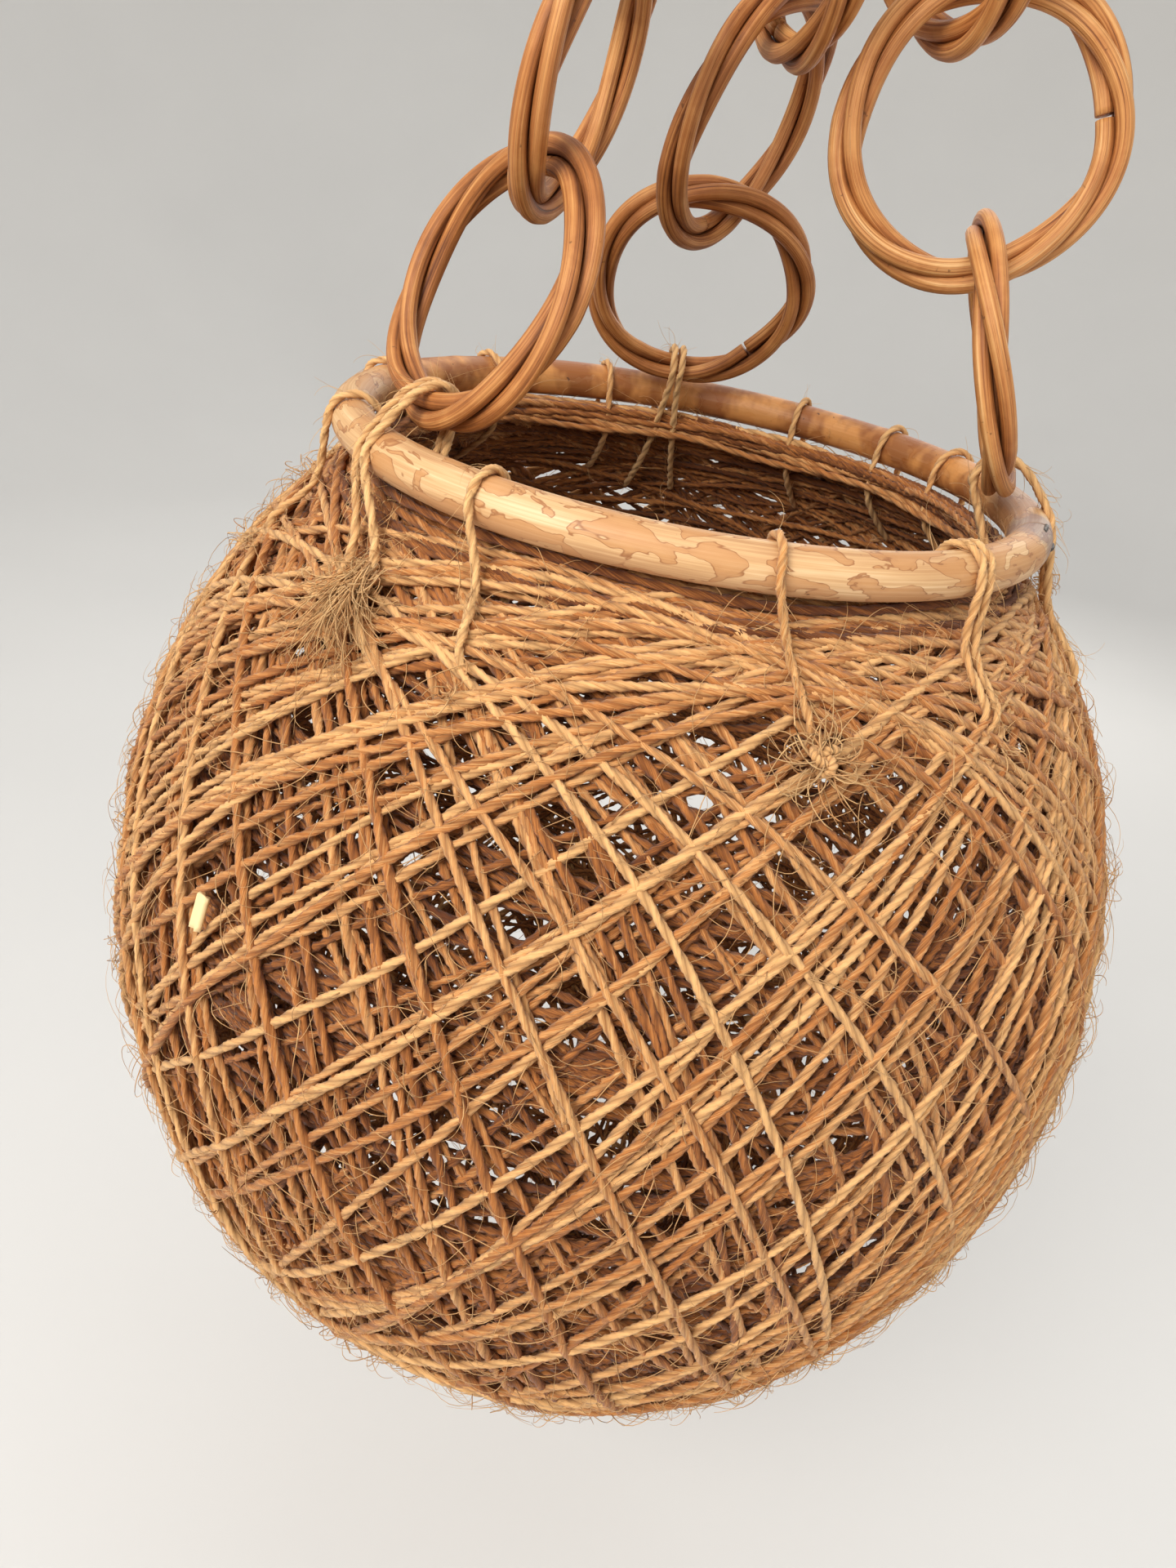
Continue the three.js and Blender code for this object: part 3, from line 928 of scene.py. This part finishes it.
def build_tie(node, frayed):
    """A doubled twine round the bottom of a chain and over the rim."""
    azimuth = node_azimuth(node)
    depth = sewing_depth(node)
    ring = node.replace("chain_tie", "chain_ring") + "_1"
    centre, _, radius, bundle = ring_frame(ring)
    joint = next(joint for joint in frame["joints"] if joint["name"] == f"{ring}_turn")
    foot = centre - unit(np.array(joint["axis"], float)) * radius
    foot_reach = np.hypot(foot[0], foot[1])
    foot_height = foot[2] - RIM_CENTRE[2]
    reach = bundle + TWINE_RADIUS * 0.95 + 0.9 * MM
    over = [
        (foot_reach - 0.6 * reach, foot_height - 0.9 * reach),
        (foot_reach - reach, foot_height + 0.5 * MM),
        (foot_reach - 0.4 * reach, foot_height + 0.92 * reach),
        (foot_reach + 0.72 * reach, foot_height + 0.74 * reach),
        (RIM_RADIUS + 0.55 * CANE_RADIUS, CANE_RADIUS + TWINE_RADIUS * 0.4),
        (RIM_RADIUS + CANE_RADIUS + TWINE_RADIUS, -1 * MM),
    ]
    strands = Strands()
    for shift, drift in ((-0.55, 9.0), (0.5, 13.0)) if frayed else ((-0.55, -3.2), (0.5, 2.0)):
        degrees = math.degrees(shift * 2.35 * TWINE_RADIUS / foot_reach)
        route = in_plane(azimuth + degrees, sewn_loop(over, depth * rng.uniform(0.9, 1.0)), drift)
        add_sewn_twine(strands, azimuth, route, 12 * MM, 1.02, 0.06, (0.7, 1.0), 60)
    spot = in_plane(azimuth + 8, [(ball_reach(0.5 * depth, 0) + 2.5 * MM, -0.5 * depth)], 5.0)[0]
    outward = ball_normals(spot[None])[0]
    heading = down_ball(outward)
    if frayed:
        add_frayed_end(strands, spot, outward, heading, 150, 24 * MM, 0.35, 0.16)
        add_frayed_end(strands, spot + heading * 5 * MM, outward, heading, 60, 13 * MM, 1.2)
    else:
        add_frayed_end(strands, spot, outward, heading, 20, 9 * MM, 1.5)
    strands.build(f"{node}_twine", LASHING_TWINE, BODY, "lashing_twine", [node])


SPLINTER_AZIMUTH, SPLINTER_POLAR = 233, 73
SPLINTER_POINTS = 8


def build_splinter():
    """A pale splinter of cane that was caught in the winding at the front left."""
    place = polar_point(SPLINTER_AZIMUTH, SPLINTER_POLAR)
    centre = on_ball(place[None], [-0.3 * MM])[0]
    outward = ball_normals(centre[None])[0]
    side = unit(np.cross(UP, outward))
    rise = np.cross(outward, side)
    path = centre + np.linspace(-4.5, 4.5, SPLINTER_POINTS)[:, None] * MM * rise
    flat = np.array([0.18, 0.8, 1, 0.8, 0.18, 0.8, 1, 0.8])
    tangents = np.tile(rise, (SPLINTER_POINTS, 1))
    normals = np.tile(outward, (SPLINTER_POINTS, 1))
    radius = np.full(SPLINTER_POINTS, 2.0 * MM)
    strands = Strands()
    strands.add(path, tangents, normals, radius, flat, np.zeros(SPLINTER_POINTS), 1.5, closed=False)
    strands.build("caught_splinter", SPLINTER, BODY, "rim_cane")


# ---------------------------------------------------------------- the studio


FLOOR_DROP = 0.16  # from the ball's foot to the floor
FLOOR_REACH, FLOOR_BEND, WALL_HEIGHT = 1.5, 1.0, 3.0
FLOOR_SIDES = 96
WORLD_LIGHT = ((0.93, 0.96, 1.0), 1.1)

# Where each light stands, seen from the ball's middle, its width and its watts.
LIGHTS = {
    "key": ((-0.55, -1.0, 0.85), 0.7, 19.0),
    "fill": ((0.9, -0.6, 0.25), 1.2, 2.5),
    "back": ((0.35, 1.3, 0.6), 1.2, 7.0),
}


def build_floor():
    """A round pale floor that curves up into a wall all round."""
    floor = ball_low[2] - FLOOR_DROP
    profile = [(0.02, floor), (FLOOR_REACH, floor)]
    for angle in np.radians(np.arange(6, 91, 6)):
        reach = FLOOR_REACH + FLOOR_BEND * math.sin(angle)
        profile.append((reach, floor + FLOOR_BEND * (1 - math.cos(angle))))
    profile.append((FLOOR_REACH + FLOOR_BEND, floor + WALL_HEIGHT))
    sides = [direction(360 * i / FLOOR_SIDES) for i in range(FLOOR_SIDES)]
    points = [tuple(side * reach + UP * height) for reach, height in profile for side in sides]
    faces = [tuple(reversed(range(FLOOR_SIDES)))]
    for row in range(len(profile) - 1):
        for i in range(FLOOR_SIDES):
            here, there = row * FLOOR_SIDES, (row + 1) * FLOOR_SIDES
            after = (i + 1) % FLOOR_SIDES
            faces.append((here + i, here + after, there + after, there + i))
    mesh = bpy.data.meshes.new("studio_floor")
    mesh.from_pydata(points, [], faces)
    mesh.polygons.foreach_set("use_smooth", [True] * len(mesh.polygons))
    mesh.materials.append(plain_material("pale_floor", colour(214, 211, 206)))
    piece = bpy.data.objects.new("studio_floor", mesh)
    bpy.context.scene.collection.objects.link(piece)


def build_lights():
    """A large key light, a soft fill, a back light and an even sky."""
    world = bpy.data.worlds.new("studio")
    world.use_nodes = True
    sky = world.node_tree.nodes["Background"]
    sky.inputs["Color"].default_value = (*WORLD_LIGHT[0], 1)
    sky.inputs["Strength"].default_value = WORLD_LIGHT[1]
    bpy.context.scene.world = world
    middle = Vector(BALL_CENTRE)
    for name, (place, size, power) in LIGHTS.items():
        lamp = bpy.data.lights.new(name, "AREA")
        lamp.size = size
        lamp.energy = power
        light = bpy.data.objects.new(name, lamp)
        light.visible_camera = False
        light.location = middle + Vector(place)
        light.rotation_euler = (middle - light.location).to_track_quat("-Z", "Y").to_euler()
        bpy.context.scene.collection.objects.link(light)


# The photograph's viewpoint, in rim radii from the middle of the rim, and its aim in degrees.
CAMERA_PLACE = np.array([0, -3.3593, 0.7146])
CAMERA_HEADING, CAMERA_PITCH, CAMERA_ROLL = 2.1, -29.53, 10.64


def build_camera():
    """The photograph's viewpoint: close above the rim, looking down on the ball and rolled a little."""
    heading, pitch, roll = (math.radians(a) for a in (CAMERA_HEADING, CAMERA_PITCH, CAMERA_ROLL))
    data = bpy.data.cameras.new("camera")
    data.sensor_width = 36.0
    data.lens = 24.96
    data.clip_start = 0.01
    camera = bpy.data.objects.new("camera", data)
    camera.location = Vector(RIM_CENTRE + RIM_RADIUS * CAMERA_PLACE)
    level = math.cos(pitch)
    forward = Vector((-math.sin(heading) * level, math.cos(heading) * level, math.sin(pitch)))
    camera.rotation_mode = "QUATERNION"
    upright = forward.to_track_quat("-Z", "Y").to_matrix().to_4x4()
    camera.rotation_quaternion = (Matrix.Rotation(-roll, 4, forward) @ upright).to_quaternion()
    bpy.context.scene.collection.objects.link(camera)
    bpy.context.scene.camera = camera


# ---------------------------------------------------------------- everything together


fuzz(wind_ball(), FIBRES)
build_rim()
for name in sorted(frame["nodes"]):
    if name.startswith(("chain_ring_", "gathering_ring", "hook_ring")):
        build_ring(name)
    elif name.startswith("rim_lashing_"):
        azimuth = node_azimuth(name)
        build_lashing(name, within(azimuth, DOUBLED_LASHING), within(azimuth, KNOTTED_LASHING))
    elif name.startswith("chain_tie_"):
        build_tie(name, frayed=name.endswith("front_left"))
    elif name.startswith("rim_staple_"):
        staple = frame["nodes"][name]
        staple.data.materials.clear()
        staple.data.materials.append(STEEL)
build_splinter()
build_floor()
build_lights()
build_camera()
bpy.context.scene.view_settings.view_transform = "Standard"
